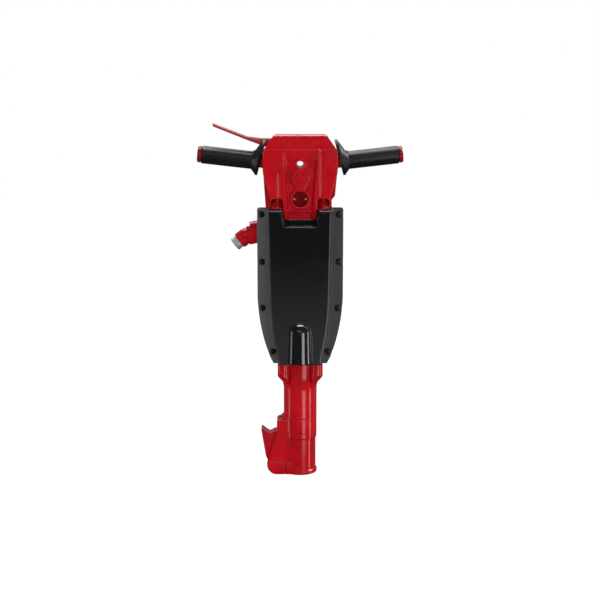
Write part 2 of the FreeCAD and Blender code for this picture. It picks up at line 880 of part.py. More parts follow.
def plug_rim(near, far):
    """A raised rim that runs round both plugs and is waisted between them, with its front edge rounded."""
    span = oil_plug_drop - plug_drop
    upper = rim_radius + rim_waist_round
    lower = oil_rim_radius + rim_waist_round
    rise = (span ** 2 + lower ** 2 - upper ** 2) / (2 * span)
    waist = Vector(math.sqrt(lower ** 2 - rise ** 2), 0, top - oil_plug_drop + rise)
    low_centre = Vector(0, 0, top - oil_plug_drop)
    high_centre = Vector(0, 0, top - plug_drop)
    low_touch = low_centre + (waist - low_centre) * (oil_rim_radius / lower)
    high_touch = high_centre + (waist - high_centre) * (rim_radius / upper)
    inmost = Vector(waist.x - rim_waist_round, 0, waist.z)

    def at(point, side=1):
        return Vector(side * point.x, near, point.z)

    foot = low_centre - Vector(0, 0, oil_rim_radius)
    crown = high_centre + Vector(0, 0, rim_radius)
    edges = [Part.Arc(at(low_touch, -1), at(foot), at(low_touch)).toShape(),
             Part.Arc(at(low_touch), at(inmost), at(high_touch)).toShape(),
             Part.Arc(at(high_touch), at(crown), at(high_touch, -1)).toShape(),
             Part.Arc(at(high_touch, -1), at(inmost, -1), at(low_touch, -1)).toShape()]
    rim = Part.Face(Part.Wire(edges)).extrude(Vector(0, far - near, 0))
    return rim.makeFillet(rim_edge_round,
                          [edge for edge in rim.Edges if edge.BoundBox.YMax < near + rim_edge_round])


def front_details():
    """Raised features on the floor of the front channel, with the ribs beside it."""
    floor = -head_front + channel_depth
    boss_face_y = floor - hole_boss_proud
    boss = drum_y(hole_boss_radius, boss_face_y, floor, 0, top - hole_drop)
    boss = boss.makeFillet(rim_edge_round, [edge for edge in boss.Edges
                                            if edge.BoundBox.YMax < boss_face_y + rim_edge_round])
    bead = Part.makeCylinder(tongue_bead_radius, 2 * channel_low_half_width,
                             Vector(-channel_low_half_width, floor, top - tongue_bead_drop),
                             Vector(1, 0, 0))
    details = [boss, bead, plug_rim(floor - rim_proud, floor)]
    rib_radius = rib_width / 2
    for x, drop in ((rib_right_x, head_shoulder_drop), (rib_left_x, rib_left_drop)):
        rib = drum(rib_radius, bolt_seat + 2 * back_boss_radius, top - drop, x,
                   -head_front + rib_radius - rib_proud)
        tip = Part.makeSphere(rib_radius, Vector(x, -head_front + rib_radius - rib_proud, top - drop))
        details.append(rib.fuse(tip))
    return details


def channel_cut():
    """The drafted channel down the middle of the front face, which fades in from its top."""
    high = top - band_height
    low = top - tongue_drop - overrun
    wires = []
    levels = ((channel_draft / 2, high, -head_front - overrun / 2),
              (-channel_draft, high - channel_fade, -head_front + channel_depth))
    for spread, head, depth in levels:
        points = [(channel_half_width + spread, head, channel_depth),
                  (-channel_half_width - spread, head, channel_depth),
                  (-channel_low_half_width - spread, low, 0), (channel_low_half_width + spread, low, 0)]
        wires.append(rounded_wire(points, lambda p, y=depth: Vector(p.x, y, p.y)))
    return Part.makeLoft(wires, True, True)


def backhead():
    seat = back_joint + gasket_thickness
    half_x = back_bolt_x + back_boss_radius
    half_y = back_bolt_y + back_boss_radius
    column = block(-column_left_reach, 0, -shield_back, head_back - side_round,
                   inlet_z - inlet_boss_radius, bolt_seat + overrun)
    boss = Part.makeCylinder(inlet_boss_radius, inlet_boss_length, inlet_start(), inlet_direction())
    casting = joined(head_body(), rounded_plan(half_x, half_y, back_boss_radius, seat, bolt_seat), column,
                     boss,
                     nut_guard(0), handle_arm(1), handle_arm(-1))
    casting = casting.cut(channel_cut())
    casting = joined(casting, *front_details())
    floor = -head_front + channel_depth
    supply_z = slot_floor - valve_bush_height / 2
    chest_top = back_joint + cylinder_spigot + valve_box_height + valve_cap_height
    cuts = [
        drum(spigot_radius + fit_gap, back_joint, chest_top + fit_gap),
        drum_y(hole_radius, -head_front - overrun, head_back + overrun, 0, top - hole_drop),
        drum_y(plug_radius + fit_gap, floor - rim_proud - overrun, floor + plug_thread_depth, 0,
               top - plug_drop),
        drum_y(oil_plug_radius + fit_gap, floor - rim_proud - overrun, floor + plug_thread_depth, 0,
               top - oil_plug_drop),
        drum(supply_radius, chest_top, supply_z, supply_x),
        Part.makeCylinder(valve_stem_radius, supply_x - valve_x, Vector(valve_x, 0, supply_z),
                          Vector(1, 0, 0)),
        block(-head_half_width - overrun, -slot_inner_reach, -lever_width / 2 - lever_side_gap,
              lever_width / 2 + lever_side_gap,
              slot_floor, top + overrun),
        drum_y(lever_pin_radius + fit_gap, -lever_width, head_back + overrun, lever_pivot_x, lever_pivot_z),
        drum(valve_bore_radius + fit_gap, slot_floor - valve_bush_height - valve_head_height
             - valve_spring_height, slot_floor + overrun, valve_x),
        drum(throttle_passage_radius, inlet_z, slot_floor, valve_x),
        drum_y(air_passage_radius, 0, inlet_y, valve_x, inlet_z),
        Part.makeCylinder(air_passage_radius, inlet_boss_length, inlet_start(), inlet_direction()),
        Part.makeCylinder(adapter_radius + fit_gap, adapter_depth + overrun, adapter_start(),
                          inlet_direction()),
    ]
    for x, y in corner_places(back_bolt_x, back_bolt_y):
        cuts.append(drum(back_bolt_radius + fit_gap, seat - overrun, bolt_seat + overrun, x, y))
        cuts.append(stud_pocket(x, y))
    return casting.cut(cuts)


def stud_pocket(x, y):
    """Room for a stud's nut, arched at its top and open to the nearer face of the head."""
    high = bolt_seat + stud_pocket_height
    reach = 2 * back_bolt_radius * nut_flats_share / math.sqrt(3) + swing_gap
    near, far = sorted((y, math.copysign(head_front + overrun, y)))
    arch = front_prism([(x - reach, bolt_seat, 0), (x + reach, bolt_seat, 0),
                        (x + reach, high, stud_pocket_round),
                        (x - reach, high, stud_pocket_round)], near, far)
    return arch.fuse(drum(reach, bolt_seat, high, x, y))


def adapter_start():
    return along(inlet_start(), inlet_direction(), inlet_boss_length - adapter_depth)


def backhead_gasket():
    plate = rounded_plan(back_bolt_x + back_boss_radius, back_bolt_y + back_boss_radius, back_boss_radius,
                         back_joint, back_joint + gasket_thickness)
    cuts = [drum(spigot_radius + fit_gap, back_joint - overrun, back_joint + overrun)]
    for x, y in corner_places(back_bolt_x, back_bolt_y):
        cuts.append(drum(back_bolt_radius + fit_gap, back_joint - overrun, back_joint + overrun, x, y))
    return plate.cut(cuts)


def backhead_studs():
    low = back_joint - cylinder_top_flange
    high = bolt_seat + washer_thickness + nut_height + stud_end
    return Part.Compound([drum(back_bolt_radius, low, high, x, y) for x,
                          y in corner_places(back_bolt_x, back_bolt_y)])


def backhead_nuts():
    nuts = []
    low = bolt_seat + washer_thickness
    for x, y in corner_places(back_bolt_x, back_bolt_y):
        nut = hexagon(2 * back_bolt_radius * nut_flats_share, low, low + nut_height, x, y)
        nuts.append(nut.cut(drum(back_bolt_radius + fit_gap, low - overrun, low + nut_height + overrun, x,
                                 y)))
    return Part.Compound(nuts)


def front_plug():
    """The raised plug in the front channel, with a round grip step on its face."""
    floor = -head_front + channel_depth
    face = floor - plug_proud
    plug = joined(drum_y(plug_radius, face, floor + plug_thread_depth - seat_gap, 0, top - plug_drop),
                  drum_y(plug_radius - plug_step, face - plug_step, face, 0, top - plug_drop))
    return plug.makeFillet(plug_step / 3,
                           [edge for edge in plug.Edges if edge.BoundBox.YMax < face - plug_step / 2])


def oil_plug():
    """The sunk plug below it, turned by a two-pin spanner."""
    floor = -head_front + channel_depth
    face = floor + oil_plug_sunk
    z = top - oil_plug_drop
    hole_x = oil_plug_radius - 2 * oil_plug_hole
    plug = drum_y(oil_plug_radius, face, floor + plug_thread_depth - seat_gap, 0, z)
    cuts = [drum_y(hole_x - plug_step * 2, face - overrun, face + plug_step / 2, 0, z)]
    for side in (-1, 1):
        cuts.append(drum_y(oil_plug_hole, face - overrun, face + plug_step * 2, side * hole_x, z))
    return plug.cut(cuts)


def lever_pin():
    return drum_y(lever_pin_radius, -lever_width + seat_gap, head_back, lever_pivot_x, lever_pivot_z)


def throttle_lever():
    """A bent flat bar that turns on its pin and presses the valve stem below it."""
    pad = lever_pivot_z - lever_pad_height
    root_top = lever_pivot_z + lever_root_rise
    bend_top = lever_pivot_z + lever_bend_rise
    tip_top = lever_pivot_z + lever_tip_rise
    stem_room = 2 * valve_stem_radius
    half = lever_width / 2
    bar = front_prism([
        (lever_pivot_x, lever_pivot_z + lever_hub_radius, 0),
                       (-lever_root_reach, root_top, lever_root_round),
        (-lever_bend_reach, bend_top, lever_bend_round), (-lever_tip_reach, tip_top, lever_edge_round),
        (-lever_tip_reach + lever_thickness / 3, tip_top - lever_thickness, lever_edge_round),
        (-lever_bend_reach, bend_top - lever_thickness, lever_bend_round),
        (-lever_root_reach, root_top - lever_root_depth, lever_heel_round),
        (valve_x - stem_room, pad, 0), (lever_pivot_x, pad, 0)], -half, half)
    hub = drum_y(lever_hub_radius, -half, half, lever_pivot_x, lever_pivot_z)
    pin_hole = drum_y(lever_pin_radius + running_gap, -lever_width, lever_width, lever_pivot_x,
                      lever_pivot_z)
    return joined(bar, hub).cut(pin_hole)


def throttle_bushing():
    low = slot_floor - valve_bush_height
    return drum(valve_bore_radius, low, slot_floor,
                valve_x).cut(drum(valve_stem_radius + running_gap, low - overrun, slot_floor + overrun,
                                  valve_x))


def throttle_valve():
    seat = slot_floor - valve_bush_height - seat_gap
    tip = lever_pivot_z - lever_pad_height - seat_gap
    dome = stem_dome_share * valve_stem_radius
    stem = drum(valve_stem_radius, seat - valve_head_height, tip, valve_x)
    crown = Part.makeSphere(dome, Vector(valve_x, 0, tip - dome))
    foot = drum(valve_stem_radius, seat - valve_head_height, tip - valve_stem_radius, valve_x)
    stem = joined(stem.common(crown), foot)
    head = Part.makeCone(valve_head_radius - valve_stem_radius / 2, valve_head_radius,
                         valve_stem_radius / 2,
                         Vector(valve_x, 0, seat - valve_head_height))
    disc = drum(valve_head_radius, seat - valve_head_height + valve_stem_radius / 2, seat, valve_x)
    return joined(stem, head, disc)


def throttle_spring():
    high = slot_floor - valve_bush_height - seat_gap - valve_head_height
    low = slot_floor - valve_bush_height - valve_head_height - valve_spring_height
    return coil(valve_bore_radius - 2 * valve_spring_wire, valve_spring_wire, low + fit_gap,
                high - fit_gap, valve_x, 4)


def guard_reach():
    """Where the guard's inner plane crosses the handle line, so that it just clears the head's shoulder."""
    tilt = math.radians(guard_tilt)
    shoulder_rise = top - head_shoulder_drop - handle_z
    across = head_half_width * math.cos(tilt) + shoulder_rise * math.sin(tilt) + guard_head_gap
    return across / (math.cos(tilt) + math.tan(math.radians(handle_rise_angle)) * math.sin(tilt))


def grip(side):
    """A moulded rubber grip with a flared hand guard that leans towards the head."""
    out = handle_direction(1)
    rise = math.tan(math.radians(handle_rise_angle))
    base = Vector(guard_reach(), 0, handle_z + guard_reach() * rise)
    tilt = math.radians(guard_tilt)
    up = Vector(-math.sin(tilt), 0, math.cos(tilt))
    away = Vector(math.cos(tilt), 0, math.sin(tilt))
    centre = base + up * guard_lift

    def oval(half_height, half_depth, middle):
        edge = Part.Ellipse(Vector(0, 0, 0), half_height, half_depth).toShape()
        edge.Placement = FreeCAD.Placement(middle, FreeCAD.Rotation(up, Vector(0, 1, 0), away, "ZXY"))
        return Part.Wire([edge])

    rim_wire = oval(guard_half_height, guard_half_depth, centre)
    rim = Part.Face(rim_wire).extrude(away * guard_rim)
    ring = Part.Circle(Vector(0, 0, 0), Vector(0, 0, 1), grip_radius).toShape()
    ring.Placement = FreeCAD.Placement(along(Vector(0, 0, handle_z), out, grip_start),
                                       FreeCAD.Rotation(up, Vector(0, 1, 0), out, "ZXY"))
    flare_wire = oval(guard_half_height - guard_rim / 4, guard_half_depth - guard_rim / 4,
                      centre + away * guard_rim)
    flare = Part.makeLoft([flare_wire, Part.Wire([ring])], True, True)
    end = handle_reach - knob_length - seat_gap / 2
    sleeve = Part.makeCylinder(grip_radius, end - grip_start,
                               along(Vector(0, 0, handle_z), out, grip_start), out)
    body = joined(rim, flare, sleeve)
    hollow = Part.makeCylinder(arm_radius + fit_gap, handle_reach, Vector(0, 0, handle_z), out)
    slot = block(0, grip_start, -guard_slot_half_width, guard_slot_half_width, base.z + guard_slot_rise,
                 top + overrun)
    body = body.cut([hollow, slot])
    if side < 0:
        body = body.mirror(Vector(0, 0, 0), Vector(1, 0, 0))
    return body


# Air inlet

def inlet_adapter():
    """The threaded sleeve in the inlet boss that the swivel nut screws on to."""
    start = adapter_start()
    return tube_along(adapter_radius, adapter_bore_radius, start, inlet_direction(),
                      adapter_depth + nut_length - elbow_stub)


def boss_face():
    return along(inlet_start(), inlet_direction(), inlet_boss_length)


def inlet_strainer():
    """A cup of fine mesh inside the adapter, closed at its inner end."""
    start = along(adapter_start(), inlet_direction(), seat_gap)
    cup = Part.makeCylinder(adapter_bore_radius - fit_gap, adapter_depth, start, inlet_direction())
    inside = Part.makeCylinder(adapter_bore_radius - strainer_wall, adapter_depth,
                               along(start, inlet_direction(), strainer_wall), inlet_direction())
    return cup.cut(inside)


def swivel_nut():
    start = along(boss_face(), inlet_direction(), fit_gap)
    nut = hexagon(nut_flats, 0, nut_length)
    bore_end = nut_length - nut_lip
    nut = nut.cut([drum(adapter_radius + fit_gap, -overrun, bore_end),
                   drum(swivel_neck_radius + running_gap, 0, nut_length + overrun)])
    round_off = Part.makeCone(nut_flats / 2 + nut_length, nut_flats / 2, nut_length + nut_lip,
                              Vector(0, 0, 0))
    nut = nut.common(round_off)
    nut.Placement = FreeCAD.Placement(start, FreeCAD.Rotation(Vector(0, 0, 1), inlet_direction()))
    return nut


def elbow_face():
    return along(boss_face(), inlet_direction(), nut_length + fit_gap + seat_gap)


def nipple_direction():
    angle = math.radians(elbow_tilt)
    return Vector(-math.cos(angle), 0, -math.sin(angle))


def bend_hub():
    """The centre that the elbow bends round, below its face."""
    axis = inlet_direction()
    return elbow_face() + Vector(-axis.z, 0, axis.x) * elbow_bend_radius


def bend_end():
    axis = nipple_direction()
    return bend_hub() - Vector(-axis.z, 0, axis.x) * elbow_bend_radius


def bent_bar(radius):
    """A bar of one radius, round the bend from the nut's face and on along the socket."""
    disc = Part.Face(Part.Wire([Part.Circle(elbow_face(), inlet_direction(), radius).toShape()]))
    bend = disc.revolve(bend_hub(), Vector(0, -1, 0), elbow_tilt - inlet_tilt)
    return bend.fuse(Part.makeCylinder(radius, elbow_socket_length, bend_end(), nipple_direction()))


def swivel_elbow():
    """The bent coupling: a flanged neck held by the nut, then a socket for the pipe nipple."""
    inner = along(boss_face(), inlet_direction(), nut_length - elbow_stub + seat_gap)
    neck_length = inner.distanceToPoint(elbow_face())
    neck = Part.makeCylinder(swivel_neck_radius, neck_length, inner, inlet_direction())
    collar = Part.makeCylinder(adapter_radius - seat_gap, elbow_stub - nut_lip - 2 * seat_gap, inner,
                               inlet_direction())
    bore = Part.makeCylinder(adapter_bore_radius, neck_length, inner, inlet_direction())
    thread = Part.makeCylinder(nipple_radius - nipple_thread_step + fit_gap, nipple_buried + overrun,
                               along(bend_end(), nipple_direction(), elbow_socket_length - nipple_buried),
                               nipple_direction())
    return joined(neck, collar, bent_bar(elbow_radius)).cut([bore, bent_bar(adapter_bore_radius), thread])


def inlet_nipple():
    """A pipe nipple whose hose end is a step larger than the end inside the socket."""
    start = along(bend_end(), nipple_direction(), elbow_socket_length - nipple_buried + seat_gap)
    shoulder = along(bend_end(), nipple_direction(), elbow_socket_length + seat_gap)
    buried = tube_along(nipple_radius - nipple_thread_step, nipple_bore_radius, start, nipple_direction(),
                        nipple_buried)
    hose_end = tube_along(nipple_radius, nipple_bore_radius, shoulder, nipple_direction(),
                          nipple_visible - seat_gap)
    return joined(buried, hose_end)


# Muffler

def side_curve(knee_width, bow, foot_width, high, low):
    """The knee, middle and foot of one side; the middle stands out from the chord by the bow."""
    height = high - low
    along_chord = (mid_share - knee_share) / (low_share - knee_share)
    mid_width = knee_width + (foot_width - knee_width) * along_chord + bow
    return [Vector(knee_width, high - height * knee_share, 0),
            Vector(mid_width, high - height * mid_share, 0),
            Vector(foot_width, high - height * low_share, 0)]


def muffler_wire(widths, high, low, y):
    """Closed outline of lines and two side arcs, from the half widths at its four levels and the bow."""
    top_width, knee_width, foot_width, bottom_width, bow = widths
    knee, middle, foot = side_curve(knee_width, bow, foot_width, high, low)

    def right(p):
        return Vector(p.x, y, p.y)

    def left(p):
        return Vector(-p.x, y, p.y)

    head = Vector(top_width, high, 0)
    base = Vector(bottom_width, low, 0)
    edges = [Part.makeLine(left(head), right(head)), Part.makeLine(right(head), right(knee)),
             Part.Arc(right(knee), right(middle), right(foot)).toShape(),
             Part.makeLine(right(foot), right(base)),
             Part.makeLine(right(base), left(base)), Part.makeLine(left(base), left(foot)),
             Part.Arc(left(foot), left(middle), left(knee)).toShape(),
             Part.makeLine(left(knee), left(head))]
    return Part.Wire(edges)


def flange_widths():
    return (muffler_half_width, muffler_half_width, muffler_low_half_width,
            muffler_bottom_half_width, muffler_side_bow)


def root_widths(inset):
    return (root_half_width - inset, root_knee_half_width - inset, root_low_half_width - inset,
            root_base_half_width - inset, panel_side_bow)


def panel_widths(inset):
    return (panel_half_width - inset, panel_knee_half_width - inset, panel_low_half_width - inset,
            panel_base_half_width - inset, panel_side_bow)


def flange_reach(share):
    """Half width of the flange at a share of its height below the top, and that height."""
    z = muffler_top - share * (muffler_top - muffler_bottom)
    if share <= knee_share:
        return muffler_half_width, z
    knee, middle, foot = side_curve(muffler_half_width, muffler_side_bow, muffler_low_half_width,
                                    muffler_top, muffler_bottom)
    circle = Part.Arc(knee, middle, foot).toShape().Curve
    return circle.Center.x + math.sqrt(circle.Radius ** 2 - (z - circle.Center.y) ** 2), z


def muffler_bolt_places():
    places = []
    for share in muffler_bolt_shares:
        reach, z = flange_reach(share)
        places.append((reach - muffler_bolt_inset, z))
        places.append((muffler_bolt_inset - reach, z))
    return places


def shell_blank():
    """The front half: side flange, steep walls and front panel, hollow and open at the back."""
    flange = Part.Face(muffler_wire(flange_widths(), muffler_top, muffler_bottom, 0))
    flange = flange.extrude(Vector(0, -flange_thickness, 0))
    corners = [edge for edge in flange.Edges if edge.BoundBox.YLength > flange_thickness / 2
               and not muffler_bottom + 2 * muffler_corner < edge.BoundBox.ZMin < muffler_top
               - muffler_corner]
    flange = flange.makeFillet(muffler_corner, corners)
    root = root_widths(0)
    panel = panel_widths(0)
    panel_low = muffler_bottom + panel_bottom_rise
    outer = Part.makeLoft([muffler_wire(root, muffler_top, muffler_bottom + muffler_wall,
                                        -flange_thickness / 2),
                           muffler_wire(panel, muffler_top, panel_low, -muffler_depth)], True, True)
    face_edges = [edge for edge in outer.Edges if edge.BoundBox.YMax < -muffler_depth + muffler_panel_round]
    outer = outer.makeFillet(muffler_panel_round, face_edges)
    ceiling = muffler_top - muffler_top_wall
    inner = Part.makeLoft([muffler_wire(root_widths(muffler_wall), ceiling,
                                        muffler_bottom + 2 * muffler_wall, overrun),
                           muffler_wire(panel_widths(muffler_wall), ceiling, panel_low + muffler_wall,
                                        -muffler_depth + muffler_wall)], True, True)
    return joined(flange, outer).cut(inner)


def shell_cuts():
    """What both shells are cut by: the castings that pass through, the bolt holes and their pockets."""
    side = front_bolt_offset + front_boss_radius + swing_gap
    half_y = back_bolt_y + back_boss_radius + swing_gap
    slot_low = muffler_top - muffler_top_wall - overrun
    cuts = [rounded_plan(side, side, front_boss_radius, muffler_bottom - overrun,
                         front_joint + cylinder_low_flange),
            block(-column_left_reach - swing_gap, back_bolt_x + back_boss_radius + swing_gap, -half_y,
                  half_y,
                  slot_low, muffler_top + overrun),
            block(-tongue_half_width - swing_gap, tongue_half_width + swing_gap, -head_front - swing_gap, 0,
                  top - tongue_drop - swing_gap, muffler_top + overrun)]
    near = -flange_thickness + muffler_pocket_depth
    mouth = -flange_thickness - muffler_pocket_radius
    for x, z in muffler_bolt_places():
        low, high = sorted((x, x + math.copysign(muffler_bolt_inset + overrun, x)))
        cuts.append(drum_y(muffler_bolt_radius + fit_gap, -flange_thickness - overrun,
                           flange_thickness + overrun, x, z))
        cuts.append(drum_y(muffler_pocket_radius, mouth, near, x, z))
        cuts.append(block(low, high, mouth, near, z - muffler_pocket_radius, z + muffler_pocket_radius))
    return cuts


def outlet_hood(inset, foot):
    """The bulging exhaust hood at the foot of the front panel, round-topped; an inset gives its hollow."""
    radius = (outlet_half_width ** 2 + outlet_proud ** 2) / (2 * outlet_proud)
    axis_y = -muffler_depth - outlet_proud + radius
    crown_z = muffler_bottom + outlet_top_rise - outlet_half_width
    barrel = Part.makeCone(radius + outlet_flare - inset, radius - inset, crown_z - foot,
                           Vector(0, axis_y, foot))
    dome = Part.makeSphere(radius - inset, Vector(0, axis_y, crown_z))
    front = block(-2 * radius, 2 * radius, -muffler_depth - 2 * outlet_proud,
                  -muffler_depth + muffler_wall, foot, 2 * crown_z)
    return joined(barrel, dome).common(front)


def notch_outline(grow):
    low = muffler_top - notch_drop - grow
    return [(-notch_low_half_width - grow, low, notch_round),
            (notch_low_half_width + grow, low, notch_round),
            (notch_half_width + grow, muffler_top, 0), (-notch_half_width - grow, muffler_top, 0)]


def muffler_front_shell():
    liner = front_prism(notch_outline(muffler_wall), -muffler_depth + muffler_wall / 2,
                        -notch_floor_y + muffler_wall)
    shell = joined(shell_blank(), outlet_hood(0, muffler_bottom + outlet_foot_rise), liner)
    notch = front_prism(notch_outline(0), -muffler_depth - overrun, -notch_floor_y)
    return shell.cut(shell_cuts() + [notch, outlet_hood(outlet_wall, muffler_bottom)])


def muffler_rear_shell():
    shell = shell_blank().mirror(Vector(0, 0, 0), Vector(0, 1, 0))
    port = Part.makeCylinder(inlet_boss_radius + swing_gap, inlet_boss_length * 2, inlet_start(),
                             inlet_direction())
    cuts = [cut.mirror(Vector(0, 0, 0), Vector(0, 1, 0)) for cut in shell_cuts()]
    return shell.cut(cuts + [port, nut_guard(swing_gap)])


def muffler_bolts():
    bolts = []
    near = -flange_thickness + muffler_pocket_depth
    end = -near + muffler_bolt_head_height
    dome_radius = muffler_bolt_head_radius * bolt_dome_share
    for x, z in muffler_bolt_places():
        shank = drum_y(muffler_bolt_radius, near, end, x, z)
        dome = Part.makeSphere(dome_radius, Vector(x, near - muffler_bolt_head_height + dome_radius, z))
        head = dome.common(drum_y(muffler_bolt_head_radius, near - muffler_bolt_head_radius, near, x, z))
        bolts.append(joined(shank, head))
    return Part.Compound(bolts)


def muffler_nuts():
    nuts = []
    far = flange_thickness - muffler_pocket_depth
    for x, z in muffler_bolt_places():
        nut = hexagon(2 * muffler_bolt_radius * nut_flats_share, 0, muffler_bolt_head_height - fit_gap)
        nut.rotate(Vector(0, 0, 0), Vector(1, 0, 0), -90)
        nut.translate(Vector(x, far, z))
        nuts.append(nut.cut(drum_y(muffler_bolt_radius + fit_gap, far - overrun,
                                   far + 2 * muffler_bolt_head_height, x, z)))
    return Part.Compound(nuts)


def build():
    flange_top = front_joint + cylinder_low_flange
    return {
        "fronthead": fronthead(),
        "chuck_bushing": chuck_bushing(),
        "latch_retainer": latch_retainer(),
        "latch_bolt": latch_bolt(),
        "latch_bolt_washer": latch_bolt_washer(),
        "latch_plunger": latch_plunger(),
        "latch_spring": latch_spring(),
        "plunger_plug": plunger_plug(),
        "fronthead_bolts": fronthead_bolts(),
        "fronthead_washers": washers(front_bolt_radius, flange_top,
                                     corner_places(front_bolt_offset, front_bolt_offset)),
        "lower_anvil_bushing": lower_anvil_bushing(),
        "anvil_block": anvil_block(),
        "upper_anvil_bushing": upper_anvil_bushing(),
        "piston": piston(),
        "cylinder": cylinder(),
        "valve_box": valve_box(),
        "valve_plate": valve_plate(),
        "valve_cap": valve_cap(),
        "valve_dowel": valve_dowel(),
        "backhead_gasket": backhead_gasket(),
        "backhead": backhead(),
        "backhead_studs": backhead_studs(),
        "backhead_washers": washers(back_bolt_radius, bolt_seat, corner_places(back_bolt_x, back_bolt_y)),
        "backhead_nuts": backhead_nuts(),
        "front_plug": front_plug(),
        "oil_plug": oil_plug(),
        "lever_pin": lever_pin(),
        "throttle_lever": throttle_lever(),
        "throttle_bushing": throttle_bushing(),
        "throttle_valve": throttle_valve(),
        "throttle_spring": throttle_spring(),
        "left_grip": grip(-1),
        "right_grip": grip(1),
        "inlet_adapter": inlet_adapter(),
        "inlet_strainer": inlet_strainer(),
        "swivel_nut": swivel_nut(),
        "swivel_elbow": swivel_elbow(),
        "inlet_nipple": inlet_nipple(),
        "muffler_front_shell": muffler_front_shell(),
        "muffler_rear_shell": muffler_rear_shell(),
        "muffler_bolts": muffler_bolts(),
        "muffler_nuts": muffler_nuts(),
    }


os.makedirs("parts", exist_ok=True)
for name, shape in build().items():
    shape.exportStep(os.path.join("parts", name + ".step"))
    print(name, "solids", len(shape.Solids), "volume", round(shape.Volume), "valid", shape.isValid())
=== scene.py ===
import math

import bmesh
import bpy
from mathutils import Matrix, Vector


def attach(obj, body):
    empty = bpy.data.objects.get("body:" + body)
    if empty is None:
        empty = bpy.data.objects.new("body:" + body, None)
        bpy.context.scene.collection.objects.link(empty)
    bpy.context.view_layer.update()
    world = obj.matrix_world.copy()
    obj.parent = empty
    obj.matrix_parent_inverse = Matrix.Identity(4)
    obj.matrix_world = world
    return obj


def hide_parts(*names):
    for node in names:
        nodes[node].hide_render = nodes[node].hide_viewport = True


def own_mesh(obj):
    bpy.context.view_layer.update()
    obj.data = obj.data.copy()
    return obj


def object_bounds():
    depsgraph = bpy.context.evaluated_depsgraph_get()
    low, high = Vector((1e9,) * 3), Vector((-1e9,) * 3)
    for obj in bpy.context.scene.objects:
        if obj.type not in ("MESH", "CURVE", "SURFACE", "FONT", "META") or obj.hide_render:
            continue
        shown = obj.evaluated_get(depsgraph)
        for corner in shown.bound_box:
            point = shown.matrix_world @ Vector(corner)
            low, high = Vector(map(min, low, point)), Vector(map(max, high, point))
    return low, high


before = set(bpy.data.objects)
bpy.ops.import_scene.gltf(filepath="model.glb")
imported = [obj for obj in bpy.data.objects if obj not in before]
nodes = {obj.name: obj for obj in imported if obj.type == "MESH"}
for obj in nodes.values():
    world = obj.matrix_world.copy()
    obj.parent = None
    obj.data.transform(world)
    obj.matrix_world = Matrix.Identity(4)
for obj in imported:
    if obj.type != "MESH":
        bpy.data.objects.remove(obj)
cadLow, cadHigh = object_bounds()
mm = 0.001    # lengths of finishes and pieces are in mm, those of the stage in metres
print("frame loaded,", len(nodes), "nodes")


# Small helpers for shader trees

def newMaterial(name):
    mat = bpy.data.materials.new(name)
    mat.use_nodes = True
    tree = mat.node_tree
    tree.nodes.clear()
    out = tree.nodes.new("ShaderNodeOutputMaterial")
    shader = tree.nodes.new("ShaderNodeBsdfPrincipled")
    tree.links.new(shader.outputs[0], out.inputs["Surface"])
    return mat, tree, shader


def addNode(tree, kind, **values):
    node = tree.nodes.new(kind)
    for key, value in values.items():
        setattr(node, key, value)
    return node


# a socket takes a plain value or another node's output
def feed(tree, value, socket):
    if isinstance(value, bpy.types.NodeSocket):
        tree.links.new(value, socket)
    else:
        socket.default_value = value


def objectCoords(tree, shift=(0, 0, 0)):
    coord = addNode(tree, "ShaderNodeTexCoord")
    mapping = addNode(tree, "ShaderNodeMapping")
    mapping.inputs["Location"].default_value = shift
    tree.links.new(coord.outputs["Object"], mapping.inputs["Vector"])
    return mapping.outputs["Vector"]


def splitAxes(tree, vector):
    split = addNode(tree, "ShaderNodeSeparateXYZ")
    tree.links.new(vector, split.inputs[0])
    return split.outputs


def mathOn(tree, operation, *values):
    node = addNode(tree, "ShaderNodeMath", operation=operation)
    for value, socket in zip(values, node.inputs):
        feed(tree, value, socket)
    return node.outputs[0]


# runs evenly from low at start to high at end, and is held outside them
def rangeOn(tree, value, start=0.0, end=1.0, low=0.0, high=1.0):
    node = addNode(tree, "ShaderNodeMapRange")
    node.inputs["From Min"].default_value = start
    node.inputs["From Max"].default_value = end
    feed(tree, low, node.inputs["To Min"])
    feed(tree, high, node.inputs["To Max"])
    tree.links.new(value, node.inputs["Value"])
    return node.outputs["Result"]


def noiseOn(tree, vector, scale, detail=3.0, roughness=0.5):
    noise = addNode(tree, "ShaderNodeTexNoise")
    noise.inputs["Scale"].default_value = scale
    noise.inputs["Detail"].default_value = detail
    noise.inputs["Roughness"].default_value = roughness
    tree.links.new(vector, noise.inputs["Vector"])
    return noise.outputs["Fac"]


def grey(value):
    return (value, value, value)


def scaled(colour, share):
    return tuple(channel * share for channel in colour)


# stops give a colour for each place on the ramp, in rising order
def rampOn(tree, factor, stops):
    ramp = addNode(tree, "ShaderNodeValToRGB")
    elements = ramp.color_ramp.elements
    while len(elements) < len(stops):
        elements.new(0.5)    # it gets its place below
    for element, (place, colour) in zip(elements, stops.items()):
        element.position = place
        element.color = (*colour, 1.0)
    tree.links.new(factor, ramp.inputs["Fac"])
    return ramp.outputs["Color"]


def mixColours(tree, factor, first, second):
    mix = addNode(tree, "ShaderNodeMix", data_type="RGBA")
    tree.links.new(factor, mix.inputs["Factor"])
    tree.links.new(first, mix.inputs["A"])
    tree.links.new(second, mix.inputs["B"])
    return mix.outputs["Result"]


def mixShaders(tree, factor, first, second):
    mix = addNode(tree, "ShaderNodeMixShader")
    tree.links.new(factor, mix.inputs["Fac"])
    tree.links.new(first, mix.inputs[1])
    tree.links.new(second, mix.inputs[2])
    return mix.outputs[0]


